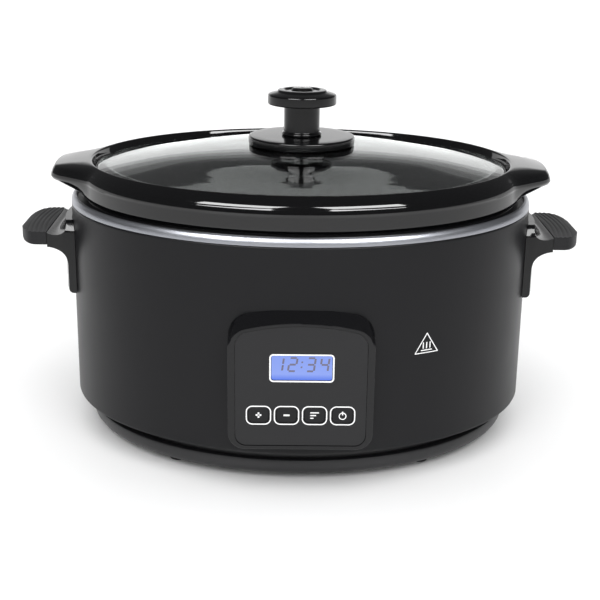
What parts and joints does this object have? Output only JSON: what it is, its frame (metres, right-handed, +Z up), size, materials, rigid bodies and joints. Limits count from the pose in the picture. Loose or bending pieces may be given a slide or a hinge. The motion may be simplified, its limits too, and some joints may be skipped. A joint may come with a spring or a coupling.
{
  "type": "slow cooker",
  "caption": "Oval electric slow cooker with a steel body, side handles, front control panel, lift-out stoneware pot and domed glass lid with a knob.",
  "frame": {"origin": "under the middle of the body, at the height of the feet's soles", "axes": "+Z up, +X along the long side towards the right handle, the control panel faces -Y"},
  "size_m": [0.405, 0.292, 0.245],
  "materials": {
    "painted_steel": "satin black stoved paint",
    "rim_metal": "satin anodised",
    "liner_metal": "drawn sheet",
    "zinc_steel": "zinc plated",
    "gloss_black_plastic": "polished moulding",
    "satin_black_plastic": "fine satin moulding",
    "panel_plastic": "satin face plate",
    "foot_rubber": "matt",
    "black_glaze": "glossy glaze",
    "clear_glass": "toughened, polished",
    "display_glass": "backlit display",
    "circuit_board": "solder resist",
    "heater_mica": "mica wrap",
    "silicone": "matt silicone",
    "wire_insulation": "matt insulation",
    "component_blue": "moulded case",
    "component_yellow": "tape wrap",
    "component_dark": "sleeved can"
  },
  "bodies": {
    "housing": {"base_tray": "satin_black_plastic", "foot_front_left": "foot_rubber", "foot_front_right": "foot_rubber", "foot_rear_left": "foot_rubber", "foot_rear_right": "foot_rubber", "outer_shell": "painted_steel", "rim_band": "rim_metal", "heating_liner": "liner_metal", "heater_band": "heater_mica", "heat_shield": "zinc_steel", "liner_stud": "zinc_steel", "stud_washer": "zinc_steel", "stud_nut": "zinc_steel", "thermal_fuse": "zinc_steel", "sensor_bracket": "zinc_steel", "temperature_sensor": "zinc_steel", "control_board": "circuit_board", "board_screw_lower_left": "zinc_steel", "board_screw_lower_right": "zinc_steel", "board_screw_upper_left": "zinc_steel", "board_screw_upper_right": "zinc_steel", "display_module": "display_glass", "power_board": "circuit_board", "relay": "component_blue", "transformer": "component_yellow", "smoothing_capacitor": "component_dark", "ribbon_cable": "wire_insulation", "heater_lead_live": "wire_insulation", "heater_lead_neutral": "wire_insulation", "cord_gland": "foot_rubber", "panel_frame": "gloss_black_plastic", "panel_face": "panel_plastic", "display_window": "display_glass", "switch_plus": "zinc_steel", "switch_minus": "zinc_steel", "switch_mode": "zinc_steel", "switch_power": "zinc_steel", "handle_right": "gloss_black_plastic", "handle_left": "gloss_black_plastic", "handle_pad_right": "satin_black_plastic", "handle_pad_left": "satin_black_plastic", "handle_screw_right_lower": "zinc_steel", "handle_screw_right_upper": "zinc_steel", "handle_screw_left_lower": "zinc_steel", "handle_screw_left_upper": "zinc_steel"},
    "key_plus": {"key_plus": "panel_plastic"},
    "key_minus": {"key_minus": "panel_plastic"},
    "key_mode": {"key_mode": "panel_plastic"},
    "key_power": {"key_power": "panel_plastic"},
    "pot": {"stoneware_pot": "black_glaze"},
    "lid": {"glass_lid": "clear_glass", "knob_flange": "gloss_black_plastic", "knob_stem": "gloss_black_plastic", "knob_cap": "gloss_black_plastic", "knob_gasket": "silicone", "knob_washer": "zinc_steel", "knob_screw": "zinc_steel"}
  },
  "joints": [
    {"name": "press_plus", "type": "slide", "parent": "housing", "child": "key_plus", "axis": [0, 1, 0], "range_m": [0, 0.0006], "stiffness_N_per_m": 2500, "springref_m": -0.0002},
    {"name": "press_minus", "type": "slide", "parent": "housing", "child": "key_minus", "axis": [0, 1, 0], "range_m": [0, 0.0006], "stiffness_N_per_m": 2500, "springref_m": -0.0002},
    {"name": "press_mode", "type": "slide", "parent": "housing", "child": "key_mode", "axis": [0, 1, 0], "range_m": [0, 0.0006], "stiffness_N_per_m": 2500, "springref_m": -0.0002},
    {"name": "press_power", "type": "slide", "parent": "housing", "child": "key_power", "axis": [0, 1, 0], "range_m": [0, 0.0006], "stiffness_N_per_m": 2500, "springref_m": -0.0002},
    {"name": "pot_lift", "type": "slide", "parent": "housing", "child": "pot", "axis": [0, 0, 1], "range_m": [0, 0.16]},
    {"name": "lid_lift", "type": "slide", "parent": "pot", "child": "lid", "axis": [0, 0, 1], "range_m": [0, 0.1]}
  ]
}
